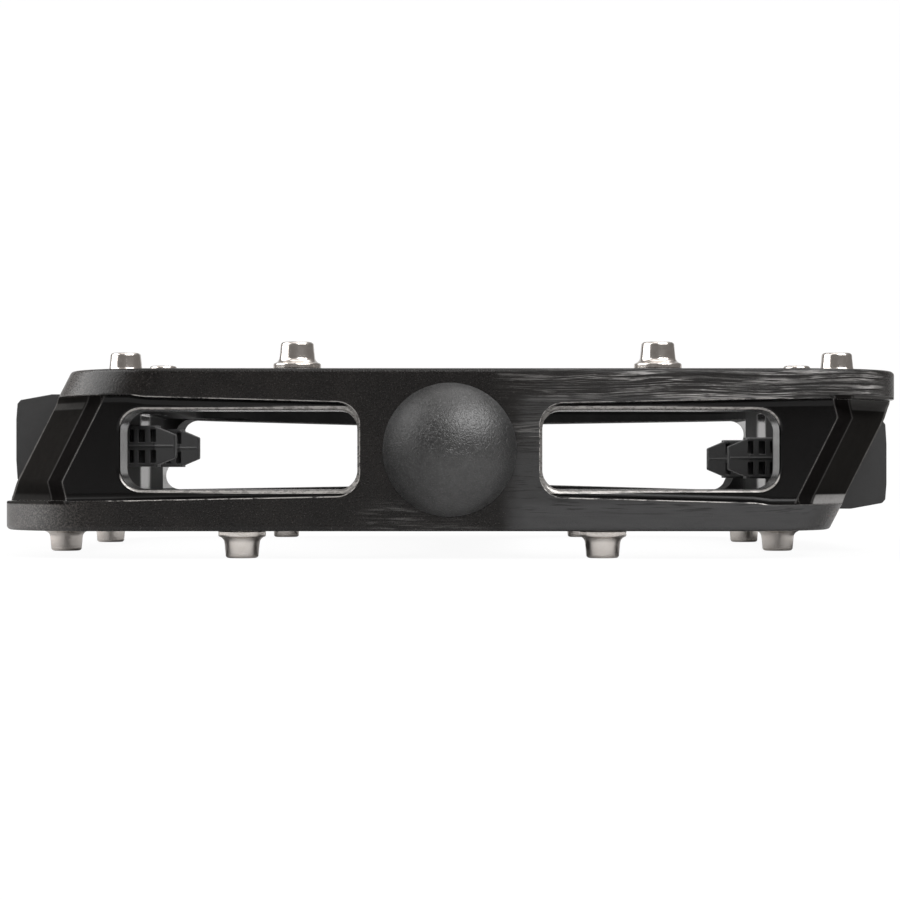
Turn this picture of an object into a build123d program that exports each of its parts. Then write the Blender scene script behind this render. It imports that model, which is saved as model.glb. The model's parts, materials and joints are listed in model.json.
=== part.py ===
from build123d import *
import math
import os

# Flat platform pedal for a bicycle, one side of a pair. All sizes in mm.
# +Y runs along the spindle towards the crank arm (inboard), X is fore and aft with the
# rear at -X, and +Z is up. The origin is on the spindle axis, in the plane of the shoulder
# that seats on the crank arm. The platform looks the same after half a turn about the
# spindle axis, so features are drawn on one side and repeated by a half turn.

# ---------------------------------------------------------------- driving dimensions
# platform
HALF_THICKNESS = 9.2
OUTBOARD_Y = -105.0         # outboard face
INBOARD_Y = -7.0            # inboard face of the frame
BARREL_END_Y = -6.5         # inboard end of the barrel
SHORT_SIDE_X = 44.4         # short side of the parallelogram section, from the axis
LONG_SIDE_X = 52.0          # long side, from the axis
SLANT = 0.517               # fore and aft run of the slanted edges per unit of height
CORNER_RADII = [12.5, 12.5, 14.0, 14.0]     # in plan: outboard pair, inboard pair
OUTBOARD_BAR = 8.5          # bar widths along Y
INBOARD_BAR = 9.0
BARREL_HALF_OUT = 9.75      # half width of the barrel at its outboard end
BARREL_HALF_IN = 11.6       # half width of the barrel at its inboard end
FLANGE_Z = 5.3              # underside of the tread flanges
BAY_X = 37.6                # outer wall of the bays, level with the tread flange
SIDE_WALL_X = 42.3          # inner wall of the side bars, below the tread flange
BAY_OUT_Y = OUTBOARD_Y + OUTBOARD_BAR
BAY_IN_Y = INBOARD_Y - INBOARD_BAR
CLEAR_X = 70                # x beyond the platform, where side cutters start

# long scoops along the barrel
SCOOP_R = 9.0
SCOOP_X, SCOOP_Z = 14.1, 13.75
SCOOP_Y = (BAY_OUT_Y + 15, BAY_IN_Y - 17)   # centres of the round ends

# outboard face: pocket, facets and window
POCKET_DEPTH = 2.2
POCKET_FLOOR_Y = OUTBOARD_Y + POCKET_DEPTH
POCKET = [                  # x, z outline of the pocket on the -X side
    (-CLEAR_X, -6.05), (-CLEAR_X, 6.25), (-36.5, 6.2), (-34.4, 5.95),
    (-10.2, 5.3), (-10.2, -5.2), (-36.0, -5.7),
]
POCKET_RADII = [0, 0, 0.5, 0.5, 2.6, 2.6, 0]
POCKET_FILLETS = (0.8, 0.5, 0.3)            # radii for the floor, in order of preference
FACET_Z = (-6.05, 6.25)     # lower and upper limit of the facets
FACET_FLARE = (2.4, 1.8)    # height and reach of the flare at the lower end of a facet
CORNER_SLANT = 0.5          # slant of the facets and of the inboard corner relief
FACETS = [                  # x and y of a point on each facet, its slope in plan
    (-42.2, POCKET_FLOOR_Y, -0.75),
    (-44.3, OUTBOARD_Y + 5.0, -0.646),
]
WINDOW_X = (10.5, 37.45)
WINDOW_HALF_Z = 4.5

# traction pins
PIN_R = 2.0
PIN_SHANK = 3.1             # below the platform face
PIN_HOLE = 3.7
PIN_FLANGE_R = 2.72
PIN_HEIGHT = 3.12           # above the platform face
PIN_INSET = 4.2             # end pins, from the end faces
REAR_PIN_X, FRONT_PIN_X = -40.7, 48.1
SIDE_PIN_Y = (-74.8, -37.2)
PIN_GROUPS = [              # name on the upper face, on the lower face, x and y on the upper face
    ("outboard", "outboard", [(x, OUTBOARD_Y + PIN_INSET) for x in (-17.45, 23.75)]),
    ("rear", "front", [(REAR_PIN_X, y) for y in SIDE_PIN_Y]),
    ("front", "rear", [(FRONT_PIN_X, y) for y in SIDE_PIN_Y]),
    ("inboard", "inboard", [(x, INBOARD_Y - PIN_INSET) for x in (-18.9, 25.4)]),
]
# the order in which the pin holes are cut
PIN_HOLES = [
    *PIN_GROUPS[0][2],
    *[(x, y) for y in SIDE_PIN_Y for x in (REAR_PIN_X, FRONT_PIN_X)],
    *PIN_GROUPS[3][2],
]

# spindle
JOURNAL_R = 6.0
THREAD_R = 7.144            # 9/16 in x 20 TPI major radius
THREAD_LENGTH = 12.7
COLLAR_R = 8.6
COLLAR_WIDTH = 6.0
FLATS_WIDTH = 15.0          # across the flats of the collar
SOCKET_WIDTH = 8.0          # across the flats of the hex socket

# bearings and the parts beside them
BEARING_OD, BEARING_ID, BEARING_WIDTH = 13.0, 6.0, 5.0
BEARING_R = BEARING_OD / 2
BEARING_SEAT_Y = -86.2      # spindle shoulder and bore shoulder
SPACER_WIDTH = 3.0
INNER_BEARING_Y = BEARING_SEAT_Y - BEARING_WIDTH    # outboard face of each bearing
OUTER_BEARING_Y = INNER_BEARING_Y - SPACER_WIDTH - BEARING_WIDTH
BALL_R = 1.05
BALL_PITCH_R = 4.75
BALL_COUNT = 9
WASHER_WIDTH = 0.8
NUT_WIDTH = 4.0
BUSH_R = 7.0                # bush and its bore
SEAL_R = 7.8                # dust seal and its bore

# reflectors
REFLECTOR_Y = -56.0         # middle of the reflector
REFLECTOR_HALF_WIDTH = 23.0
REFLECTOR_FACE_X = -53.45
CLIP_Y = (-69.5, -42.5)
CLIP_Z = 0.75


# ---------------------------------------------------------------- helpers
def rounded_face(points, radii, place):
    """Face inside a polygon with rounded corners. place turns its (u, v) into (x, y, z)."""
    if not isinstance(radii, list):
        radii = [radii] * len(points)
    corners = []            # start, middle and end of the arc at each corner
    for i, radius in enumerate(radii):
        corner = Vector(*points[i], 0)
        if not radius:
            corners.append((corner, None, corner))
            continue
        to_last = (Vector(*points[i - 1], 0) - corner).normalized()
        to_next = (Vector(*points[(i + 1) % len(points)], 0) - corner).normalized()
        half_angle = math.acos(to_last.dot(to_next)) / 2
        setback = radius / math.tan(half_angle)
        inward = (to_last + to_next).normalized()
        middle = corner + inward * (radius / math.sin(half_angle)) - inward * radius
        corners.append((corner + to_last * setback, middle, corner + to_next * setback))

    edges = []
    for i, (start, middle, end) in enumerate(corners):
        following = corners[(i + 1) % len(corners)][0]
        if middle is not None:
            arc = [place(p.X, p.Y) for p in (start, middle, end)]
            edges.append(Edge.make_three_point_arc(*arc))
        if (following - end).length > 1e-6:
            edges.append(Edge.make_line(place(end.X, end.Y), place(following.X, following.Y)))
    return Face(Wire(edges))


def plan_prism(points, radii, z0, z1, shear=0.0, z_true=0.0):
    """Plan outline, true at z_true, swept from z0 to z1 with a fore and aft shear."""
    shift = shear * (z0 - z_true)
    face = rounded_face(points, radii, lambda u, v: (u + shift, v, z0))
    return Solid.extrude(face, Vector(shear * (z1 - z0), 0, z1 - z0))


def side_prism(points, radii, y0, y1, shear=0.0):
    """Outline in X and Z swept from y0 to y1 with a fore and aft shear."""
    face = rounded_face(points, radii, lambda u, v: (u, y0, v))
    return Solid.extrude(face, Vector(shear * (y1 - y0), y1 - y0, 0))


def box(x0, x1, y0, y1, z0, z1):
    centre = Pos((x0 + x1) / 2, (y0 + y1) / 2, (z0 + z1) / 2)
    return centre * Box(abs(x1 - x0), abs(y1 - y0), abs(z1 - z0))


def turned(profile, axis=Axis.Y):
    """Solid of revolution about Y or Z.

    profile holds (radius, height) points. A point (radius, height, mid radius, mid height)
    is reached by an arc through its mid point.
    """
    def place(radius, height):
        return (radius, height, 0) if axis == Axis.Y else (radius, 0, height)

    points, mids = [profile[0][:2]], [None]
    for entry in profile[1:] + [profile[0][:2]]:
        if math.dist(points[-1], entry[:2]) < 1e-7:
            continue
        points.append(entry[:2])
        mids.append(entry[2:] if len(entry) == 4 else None)
    # the points close on themselves; run them anticlockwise
    if sum(a[0] * b[1] - b[0] * a[1] for a, b in zip(points, points[1:])) < 0:
        points, mids = points[::-1], [None] + mids[:0:-1]
    edges = []
    for start, end, mid in zip(points, points[1:], mids[1:]):
        if mid:
            edges.append(Edge.make_three_point_arc(place(*start), place(*mid), place(*end)))
        else:
            edges.append(Edge.make_line(place(*start), place(*end)))
    return revolve(Face(Wire(edges)), axis=axis, revolution_arc=360)


def ring(r0, r1, y0, y1, chamfer_size=0.0):
    """Plain ring about the spindle axis, with its four edges broken."""
    c = chamfer_size
    return turned([
        (r0 + c, y0), (r1 - c, y0), (r1, y0 + c), (r1, y1 - c),
        (r1 - c, y1), (r0 + c, y1), (r0, y1 - c), (r0, y0 + c),
    ])


def disc(radius, y0, y1):
    """Plain cylinder on the spindle axis."""
    return turned([(0, y0), (radius, y0), (radius, y1), (0, y1)])


def hex_bar(width, y_end, length):
    """Hexagon on the spindle axis, width across flats, running outboard from y_end."""
    hexagon = RegularPolygon(width / 2, 6, major_radius=False)
    return Pos(0, y_end, 0) * Rot(90, 0, 0) * extrude(hexagon, length)


def half_turn(shape):
    """The same shape turned half a turn about the spindle axis."""
    return Rot(0, 180, 0) * shape


def cut_both(body, tool):
    """Cut with the tool and with its half-turned copy."""
    return body - tool - half_turn(tool)


def save(name, *shapes):
    solids = [solid for shape in shapes for solid in shape.solids()]
    part = solids[0] if len(solids) == 1 else Compound(children=solids)
    export_step(part, os.path.join("parts", name + ".step"))


# ---------------------------------------------------------------- platform body
def platform_blank():
    """Parallelogram section with a vertical lip at each long corner, rounded in plan."""
    def outline(x0, x1):
        return [(x0, OUTBOARD_Y), (x1, OUTBOARD_Y), (x1, INBOARD_Y), (x0, INBOARD_Y)]

    low, high = -HALF_THICKNESS, HALF_THICKNESS
    front_x = SHORT_SIDE_X + SLANT * 2 * HALF_THICKNESS
    slanted = plan_prism(outline(-SHORT_SIDE_X, front_x), CORNER_RADII, low, high, SLANT, high)
    upright = plan_prism(outline(-LONG_SIDE_X, LONG_SIDE_X), CORNER_RADII, low, high)
    return slanted & upright


def bay_tool():
    """Open bay on the -X side of the barrel, widened below the tread flange."""
    bottom = -HALF_THICKNESS - 1
    bay = plan_prism(
        [(-BAY_X, BAY_OUT_Y), (-BARREL_HALF_OUT, BAY_OUT_Y),
         (-BARREL_HALF_IN, BAY_IN_Y), (-BAY_X, BAY_IN_Y)],
        [6.0, 4.5, 6.0, 8.0], bottom, HALF_THICKNESS + 1)
    undercut = plan_prism(
        [(-SIDE_WALL_X, BAY_OUT_Y), (-20, BAY_OUT_Y), (-20, BAY_IN_Y), (-SIDE_WALL_X, BAY_IN_Y)],
        [7.5, 0, 0, 9.0], bottom, FLANGE_Z)
    return bay + undercut


def cut_scoops(body):
    """Long round-ended scoops along the four corners of the barrel."""
    y0, y1 = SCOOP_Y
    for side in (-1, 1):
        for level in (-1, 1):
            x, z = side * SCOOP_X, level * SCOOP_Z
            body = body - Pos(x, (y0 + y1) / 2, z) * Rot(90, 0, 0) * Cylinder(SCOOP_R, y1 - y0)
            for y in SCOOP_Y:
                body = body - Pos(x, y, z) * Sphere(SCOOP_R)
    return body


def facet_section(x_face):
    """Slanted side of a facet cutter, flared at its lower end. x_face is its x at z 0."""
    bottom, top = FACET_Z
    flare_height, flare_reach = FACET_FLARE
    bend_z = bottom + flare_height
    return [
        (-CLEAR_X, bottom), (-CLEAR_X, top), (x_face + CORNER_SLANT * top, top),
        (x_face + CORNER_SLANT * bend_z, bend_z),
        (x_face + CORNER_SLANT * bottom + flare_reach, bottom),
    ]


def pocket_tool():
    """-X pocket of the outboard face: a flat floor, then two facets back round the corner."""
    start_y, end_y = OUTBOARD_Y - 2, OUTBOARD_Y + 29
    tool = side_prism(POCKET, POCKET_RADII, start_y, POCKET_FLOOR_Y)
    rim = [
        e for e in tool.edges()
        if e.bounding_box().min.Y > POCKET_FLOOR_Y - 1e-3 and e.bounding_box().max.X > -69.9
    ]
    for radius in POCKET_FILLETS:
        # a radius too large for the rim raises an error, so the next one down is tried
        try:
            tool = fillet(rim, radius)
            break
        except Exception:
            continue
    reach = side_prism(POCKET, POCKET_RADII, start_y, end_y)
    for x, y, slope in FACETS:
        section = facet_section(x + slope * (start_y - y))
        facet = side_prism(section, [0, 0, 0.8, 1.2, 0.8], start_y, end_y, slope)
        tool = tool + (facet & reach)
    return tool


def outboard_window():
    x0, x1 = WINDOW_X
    z = WINDOW_HALF_Z
    return side_prism([(-x1, -z), (-x1, z), (-x0, z), (-x0, -z)], [2.4, 2.4, 2.2, 2.2],
                      OUTBOARD_Y - 1, BAY_OUT_Y + 2)


def inboard_window():
    return side_prism([(-44.9, -5.2), (-40.2, 5.25), (-12.7, 4.5), (-12.7, -4.7)],
                      [2.0, 2.0, 0.8, 0.8], BAY_IN_Y - 9, INBOARD_Y + 1)


def inboard_relief():
    """Shallow slanted facet round the inboard corner."""
    face = side_prism([(-CLEAR_X, -6.2), (-CLEAR_X, 6.2), (-38, 6.0), (-38, -6.0)],
                      [0, 0, 2.0, 2.0], INBOARD_Y - 30, INBOARD_Y + 2)
    plan = [                # x, y past the inboard face
        (-30, 2), (-30, 0.4), (-42.5, -2.2), (-49.7, -13.0), (-60, -28), (-60, 2),
    ]
    path = plan_prism([(x, INBOARD_Y + y) for x, y in plan], [0, 0, 0.8, 0, 0, 0],
                      -HALF_THICKNESS, HALF_THICKNESS, CORNER_SLANT)
    return face & path


def clip_slot(y):
    """Slot for one reflector clip."""
    half_width, half_height = 1.85, 2.15
    return box(-60, -39.5, y - half_width, y + half_width,
               CLIP_Z - half_height, CLIP_Z + half_height)


def build_body():
    body = cut_both(platform_blank(), bay_tool())
    body = cut_scoops(body)
    body = cut_both(body, pocket_tool() + outboard_window())
    body = cut_both(body, inboard_window())
    body = cut_both(body, inboard_relief())
    for y in CLIP_Y:
        body = cut_both(body, clip_slot(y))
    return body


# ---------------------------------------------------------------- edge breaks
CORNER_X = 39.0             # parts a loop into its window side and its corner side
EDGE_BREAKS = [             # axis and position of a plane, radii in order of preference
    ("Z", HALF_THICKNESS, (0.5, 0.3)),
    ("Z", -HALF_THICKNESS, (0.5, 0.3)),
    ("Y", OUTBOARD_Y, (0.3, 0.15)),
    ("Y", POCKET_FLOOR_Y, (0.45, 0.25, 0.12)),
    ("Y", INBOARD_Y, (0.3, 0.15)),
    ("Z", FLANGE_Z, (0.4, 0.2)),
    ("Z", -FLANGE_Z, (0.4, 0.2)),
]


def edges_on_plane(body, axis, position):
    """Edges that lie wholly in the plane axis = position."""
    found = []
    for edge in body.edges():
        bounds = edge.bounding_box()
        if all(abs(getattr(end, axis) - position) < 1e-4 for end in (bounds.min, bounds.max)):
            found.append(edge)
    return found


def edge_loops(edges):
    """Split edges into chains that share ends."""
    left, chains = list(edges), []
    while left:
        chain, grown = [left.pop()], True
        while grown:
            grown = False
            ends = [p for edge in chain for p in (edge @ 0, edge @ 1)]
            for edge in list(left):
                if any((p - q).length < 1e-4 for p in (edge @ 0, edge @ 1) for q in ends):
                    chain.append(edge)
                    left.remove(edge)
                    grown = True
        chains.append(chain)
    return chains


def same_edge(a, b):
    return (a.center() - b.center()).length < 1e-4 and abs(a.length - b.length) < 1e-4


def fillet_chain(body, chain, radii):
    """Body with the chain rounded at the first radius that gives a sound solid, or None."""
    for radius in radii:
        # the kernel raises an error where a radius can't be built on this chain
        try:
            live = [e for e in body.edges() if any(same_edge(e, k) for k in chain)]
            new = fillet(live, radius)
            sound = new.is_valid and len(new.solids()) == 1
            if sound and abs(new.volume - body.volume) < 400:
                return new
        except Exception:
            continue
    return None


def break_edges(body):
    """Small edge breaks, one loop at a time so that one awkward loop can't lose the rest.

    A loop that won't go in one piece is tried as window side and corner side.
    """
    for axis, position, radii in EDGE_BREAKS:
        for chain in edge_loops(edges_on_plane(body, axis, position)):
            new = fillet_chain(body, chain, radii)
            if new is not None:
                body = new
                continue
            near = [e for e in chain if abs(e.center().X) < CORNER_X]
            far = [e for e in chain if abs(e.center().X) >= CORNER_X]
            for part in (near, far):
                new = fillet_chain(body, part, radii) if part else None
                if new is not None:
                    body = new
    return body


def add_bores(body):
    """Barrel nose, stepped bore and pin holes."""
    # the barrel stands a little proud inboard
    nose = turned([
        (0, -20), (9.0, -20), (9.0, BARREL_END_Y - 0.6), (8.4, BARREL_END_Y), (0, BARREL_END_Y),
    ])
    body = body + nose
    mouth_r, groove_r, waist_r = 6.7, 6.9, 5.8
    bore = turned([
        (0, OUTBOARD_Y - 1), (mouth_r, OUTBOARD_Y - 1), (mouth_r, OUTBOARD_Y + 4.0),
        (BEARING_R, OUTBOARD_Y + 4.0), (BEARING_R, OUTBOARD_Y + 4.75),
        (groove_r, OUTBOARD_Y + 4.75), (groove_r, OUTBOARD_Y + 5.8),
        (BEARING_R, OUTBOARD_Y + 5.8), (BEARING_R, BEARING_SEAT_Y), (waist_r, BEARING_SEAT_Y),
        (waist_r, -34), (BUSH_R, -32.5), (BUSH_R, -10.5), (SEAL_R, -10.5), (SEAL_R, -4), (0, -4),
    ])
    body = body - bore
    hole_r = PIN_R + 0.01
    for x, y in PIN_HOLES:
        hole = turned([(0, 0.5), (hole_r, 0.5), (hole_r, -PIN_HOLE + 0.5), (0, -PIN_HOLE)], Axis.Z)
        body = cut_both(body, Pos(x, y, HALF_THICKNESS) * hole)
    return body


# ---------------------------------------------------------------- pins
def pin():
    """Flanged traction pin, seat of the flange at z 0, hex socket in the tip."""
    r, flange, top = PIN_R, PIN_FLANGE_R, PIN_HEIGHT
    blank = turned([
        (0, -PIN_SHANK), (r - 0.4, -PIN_SHANK), (r, -PIN_SHANK + 0.4), (r, 0),
        (flange - 0.12, 0), (flange, 0.12), (flange, 0.46),
        (flange - 0.14, 0.7, flange - 0.03, 0.6), (r + 0.04, 1.22, r + 0.24, 0.9),
        (r, 1.5), (r - 0.12, top - 0.42), (r - 0.52, top, r - 0.22, top - 0.12), (0, top),
    ], Axis.Z)
    hexagon = RegularPolygon(1.0, 6, major_radius=False)
    socket = Pos(0, 0, top - 1.8) * extrude(hexagon, 2.2)
    lead_in = turned([
        (0, top - 0.22), (1.12, top - 0.22), (1.36, top + 0.02), (1.36, top + 0.3), (0, top + 0.3),
    ], Axis.Z)
    return blank - socket - lead_in


# ---------------------------------------------------------------- spindle group
def spindle():
    tip_r = BEARING_ID / 2
    blank = turned([
        # outboard tip and bearing seats
        (0, -104.6), (tip_r - 0.4, -104.6), (tip_r, -104.2), (tip_r, BEARING_SEAT_Y),
        # shoulder, tapered shaft and journal
        (3.9, BEARING_SEAT_Y), (4.0, BEARING_SEAT_Y + 0.1), (4.0, -84.8), (4.3, -84.2),
        (5.35, -40), (5.35, -33.6), (JOURNAL_R, -32.6), (JOURNAL_R, -6.9),
        (6.3, -6.3, 6.09, -6.51),
        # collar
        (6.6, -COLLAR_WIDTH), (COLLAR_R - 0.4, -COLLAR_WIDTH), (COLLAR_R, -COLLAR_WIDTH + 0.4),
        (COLLAR_R, -0.4), (COLLAR_R - 0.4, 0),
        # thread
        (THREAD_R, 0), (THREAD_R, THREAD_LENGTH - 0.7), (6.5, THREAD_LENGTH), (0, THREAD_LENGTH),
    ])
    for side in (-1, 1):
        blank = blank - box(side * FLATS_WIDTH / 2, side * 12,
                            -COLLAR_WIDTH - 0.01, 0.01, -12, 12)
    socket = hex_bar(SOCKET_WIDTH, THREAD_LENGTH + 1, 10.0)
    lead_in = turned([
        (0, THREAD_LENGTH - 0.6), (4.1, THREAD_LENGTH - 0.6),
        (4.95, THREAD_LENGTH + 0.05), (0, THREAD_LENGTH + 0.05),
    ])
    socket_cone = turned([(0, 2.0), (3.8, 3.75), (0, 3.76)])
    tip_cone = turned([(0, -103.4), (0.9, -104.65), (0, -104.65)])
    return blank - socket - lead_in - socket_cone - tip_cone


def lock_nut(y0):
    """Thin M6 nut with chamfered corners, its outboard face at y0."""
    y1 = y0 + NUT_WIDTH
    envelope = turned([
        (0, y0), (4.55, y0), (5.3, y0 + 0.45), (5.3, y1 - 0.45), (4.55, y1), (0, y1),
    ])
    countersink = turned([(0, y0 - 0.01), (3.5, y0 - 0.01), (3.0, y0 + 0.5), (0, y0 + 0.5)])
    blank = hex_bar(9.0, y1, NUT_WIDTH) & envelope
    return blank - disc(3.02, y0 - 1, y1 + 1) - countersink


def bearing(y0):
    """Sealed 6 x 13 x 5 ball bearing with its outboard face at y0, as {piece: solids}."""
    y1, middle = y0 + BEARING_WIDTH, y0 + BEARING_WIDTH / 2
    bore_r = BEARING_ID / 2
    inner_r, outer_r = 4.0, 5.9         # edges of the gap between the races
    turns = [Rot(0, i * 360 / BALL_COUNT, 0) for i in range(BALL_COUNT)]

    groove = Pos(0, middle, 0) * Rot(90, 0, 0) * Torus(BALL_PITCH_R, BALL_R + 0.03)
    outer = turned([
        (5.5, y0 + 0.85), (outer_r, y0 + 0.45), (outer_r, y0),
        (BEARING_R - 0.25, y0), (BEARING_R, y0 + 0.25),
        (BEARING_R, y1 - 0.25), (BEARING_R - 0.25, y1),
        (outer_r, y1), (outer_r, y1 - 0.45), (5.5, y1 - 0.85),
    ]) - groove
    inner = turned([
        (bore_r + 0.2, y0), (inner_r, y0), (inner_r, y1),
        (bore_r + 0.2, y1), (bore_r, y1 - 0.2), (bore_r, y0 + 0.2),
    ]) - groove

    balls = [turn * Pos(BALL_PITCH_R, middle, 0) * Sphere(BALL_R) for turn in turns]
    cage = ring(4.3, 5.2, middle - 1.35, middle + 1.35, 0.08)
    cutter = Cylinder(BALL_R + 0.05, 3.0, align=(Align.CENTER, Align.CENTER, Align.MIN))
    pocket = Pos(BALL_PITCH_R - 1.5, middle, 0) * Rot(0, 90, 0) * cutter
    for turn in turns:
        cage = cage - turn * pocket

    seal = [                # radius, depth below the face of the bearing
        (4.08, 0.12), (5.9, 0.08), (5.9, 0.44), (5.6, 0.44), (4.5, 0.5), (4.08, 0.42),
    ]
    seals = [
        turned([(r, face + inward * depth) for r, depth in seal])
        for face, inward in ((y0, 1), (y1, -1))
    ]
    return {
        "outer_race": [outer], "inner_race": [inner],
        "balls": balls, "cage": [cage], "seals": seals,
    }


def circlip(y0, thickness):
    """Internal retaining ring with two eyes."""
    y1 = y0 + thickness
    clip_ring = ring(5.75, 6.86, y0, y1) - box(-1.6, 1.6, y0 - 1, y1 + 1, -8, -4.5)

    def rod(x, radius, y_end, length):
        cylinder = Cylinder(radius, length, align=(Align.CENTER, Align.CENTER, Align.MIN))
        return Pos(x, y_end, -5.7) * Rot(90, 0, 0) * cylinder

    eye_xs = (-2.35, 2.35)
    limit = disc(6.45, y0, y1)
    for x in eye_xs:
        clip_ring = clip_ring + (rod(x, 0.8, y1, thickness) & limit)
    for x in eye_xs:
        clip_ring = clip_ring - rod(x, 0.35, y1 + 1, thickness + 2)
    return clip_ring


def dust_seal():
    return turned([
        (6.95, -10.45), (SEAL_R, -10.45), (SEAL_R, -7.0), (7.2, -6.7), (6.9, -6.7),
        # two lips on the journal
        (6.08, -7.5), (6.08, -7.8), (6.6, -8.3), (6.6, -8.9), (6.08, -9.4), (6.08, -9.7),
        (6.6, -10.2),
    ])


# ---------------------------------------------------------------- end cap
def dome_point(rim_r, rim_y, pole_y, r):
    """Point at radius r on the sphere with its pole at pole_y that passes through the rim."""
    centre = (rim_r * rim_r + rim_y * rim_y - pole_y * pole_y) / (2 * (rim_y - pole_y))
    sphere_r = abs(pole_y - centre)
    return r, centre + math.copysign(math.sqrt(sphere_r * sphere_r - r * r), pole_y - centre)


def end_cap():
    """Domed cap that presses into the outboard mouth of the barrel, grooved for its O-ring."""
    y = OUTBOARD_Y
    plug_r, groove_r, flange_r = 6.62, 6.1, 7.55
    rim_r, rim_y = 7.42, y - 0.35
    pole_y = y - 4.3
    hollow_r, hollow_y = 5.2, y - 1.0
    hollow_pole_y = pole_y + 1.2
    return turned([
        (5.45, y + 2.6), (6.3, y + 2.6), (plug_r, y + 2.3), (plug_r, y + 1.75),
        (groove_r, y + 1.75), (groove_r, y + 0.85), (plug_r, y + 0.85), (plug_r, y),
        (flange_r, y), (flange_r, y - 0.2), (rim_r, rim_y),
        (0, pole_y, *dome_point(rim_r, rim_y, pole_y, 4.35)), (0, hollow_pole_y),
        (hollow_r, hollow_y, *dome_point(hollow_r, hollow_y, hollow_pole_y, 3.0)),
        (5.45, y - 0.3),
    ])


def cap_o_ring():
    return Pos(0, OUTBOARD_Y + 1.3, 0) * Rot(90, 0, 0) * Torus(6.39, 0.29)


# ---------------------------------------------------------------- reflectors
def slanted_face_x(z):
    """x of the slanted outer face on the -X side."""
    return -(SHORT_SIDE_X + SLANT * (HALF_THICKNESS - z))


def clip(y):
    """Push-in clip: a block with blind pockets each side, and a split tapered tip."""
    z = CLIP_Z

    def section(x, half_y, half_z):
        corners = [(x, y + sy * half_y, z + sz * half_z)
                   for sy, sz in ((-1, -1), (1, -1), (1, 1), (-1, 1))]
        return Face(Wire([
            Edge.make_line(corners[i], corners[(i + 1) % 4]) for i in range(4)
        ]))

    def centred_box(x0, x1, half_y, half_z):
        return box(x0, x1, y - half_y, y + half_y, z - half_z, z + half_z)

    stem = centred_box(-50.5, -41.0, 1.7, 2.0)
    block = centred_box(-41.3, -37.2, 1.8, 2.6)
    block = chamfer(block.edges().filter_by(Axis.X), 0.15)
    tip = loft([section(-37.6, 1.95, 2.5), section(-35.05, 1.2, 1.45)])
    tip = fillet([e for e in tip.edges() if e.bounding_box().min.X > -35.06], 0.3)
    # moulding line along the middle
    seam = centred_box(-41.2, -37.5, 1.9, 0.1)
    seam = seam + loft([section(-37.6, 2.05, 0.1), section(-35.25, 1.32, 0.1)])
    body = stem + block + tip + seam
    for side in (-1, 1):
        for x0, x1 in ((-40.75, -40.2), (-39.6, -38.8), (-38.1, -37.4)):
            for z0, z1 in ((0.5, 2.15), (-2.15, -0.5)):
                body = body - box(x0, x1, y + side * 0.5, y + side * 3.0, z + z0, z + z1)
    return body - centred_box(-37.2, -34.0, 0.3, 4)


def reflector():
    """Housing and lens of the rear (-X) reflector."""
    gap = 0.03              # clear of the platform
    bottom, top = -4.1, 7.05
    face_x = REFLECTOR_FACE_X
    y0, y1 = REFLECTOR_Y - REFLECTOR_HALF_WIDTH, REFLECTOR_Y + REFLECTOR_HALF_WIDTH
    profile = [             # x, z
        (slanted_face_x(bottom) - gap, bottom), (-53.1, -3.8), (face_x, -3.35),
        (face_x - 0.15, -1.0), (face_x - 0.15, 4.0), (face_x, 5.9),
        (-53.05, 6.35), (-49.2, top), (slanted_face_x(top) - gap, top),
    ]
    housing = side_prism(profile, [0, 0.2, 0.25, 1.5, 1.5, 0.25, 0.25, 0.5, 0], y0, y1)
    # plan corners of the outer face
    plan = [(-55, y0 - 0.01), (-40, y0 - 0.01), (-40, y1 + 0.01), (-55, y1 + 0.01)]
    housing = housing & plan_prism(plan, [1.6, 0, 0, 1.6], -12, 12)
    # recess for the lens
    housing = housing - box(-55, face_x + 1.5, y0 + 1.2, y1 - 1.2, -2.55, 5.25)
    # hollow behind the deep top part, left solid round the clips
    core = side_prism([(-51.3, 0.6), (-51.3, 4.9), (-47.9, 5.6), (-47.2, 5.6), (-49.7, 0.6)],
                      0.2, y0 + 5.5, y1 - 5.5)
    for y in CLIP_Y:
        core = core - box(-60, -40, y - 3, y + 3, -9, 9)
    housing = housing - core
    for y in CLIP_Y:
        housing = housing + clip(y)

    lens_profile = [        # x from the reflector face, z
        (1.48, -2.5), (-0.05, -2.5), (-0.22, -1.2), (-0.3, 1.35),
        (-0.22, 3.9), (-0.05, 5.2), (1.48, 5.2),
    ]
    lens = side_prism([(face_x + x, z) for x, z in lens_profile],
                      [0, 0.1, 2.0, 8.0, 2.0, 0.1, 0], y0 + 1.25, y1 - 1.25)
    return housing, lens


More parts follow.
